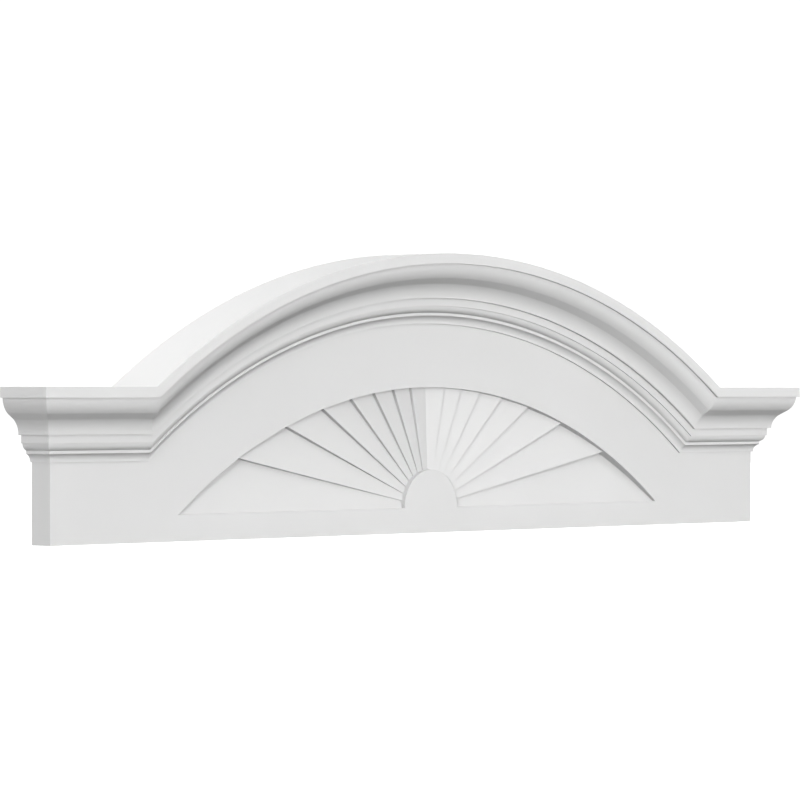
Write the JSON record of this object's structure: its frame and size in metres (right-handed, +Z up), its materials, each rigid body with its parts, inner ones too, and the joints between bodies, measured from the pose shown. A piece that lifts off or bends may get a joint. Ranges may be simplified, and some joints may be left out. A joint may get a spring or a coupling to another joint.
{
  "type": "segmental pediment",
  "caption": "Wall-fixed segmental pediment: a board with an arched crown moulding, level flanks and square returns, and a sunken sunburst of tilted rays around a half-round hub.",
  "frame": {"origin": "middle of the flat back face, on the centre line and half way between the underside and the top of the arch", "axes": "+Z up, +Y into the wall, +X to the right as a person facing the pediment sees it, so the moulded face looks along -Y"},
  "size_m": [1.6382, 0.0953, 0.419],
  "materials": {
    "satin_white": "factory-primed moulded polyurethane, smooth, satin"
  },
  "bodies": {
    "root": {"pediment": "satin_white"}
  },
  "joints": []
}
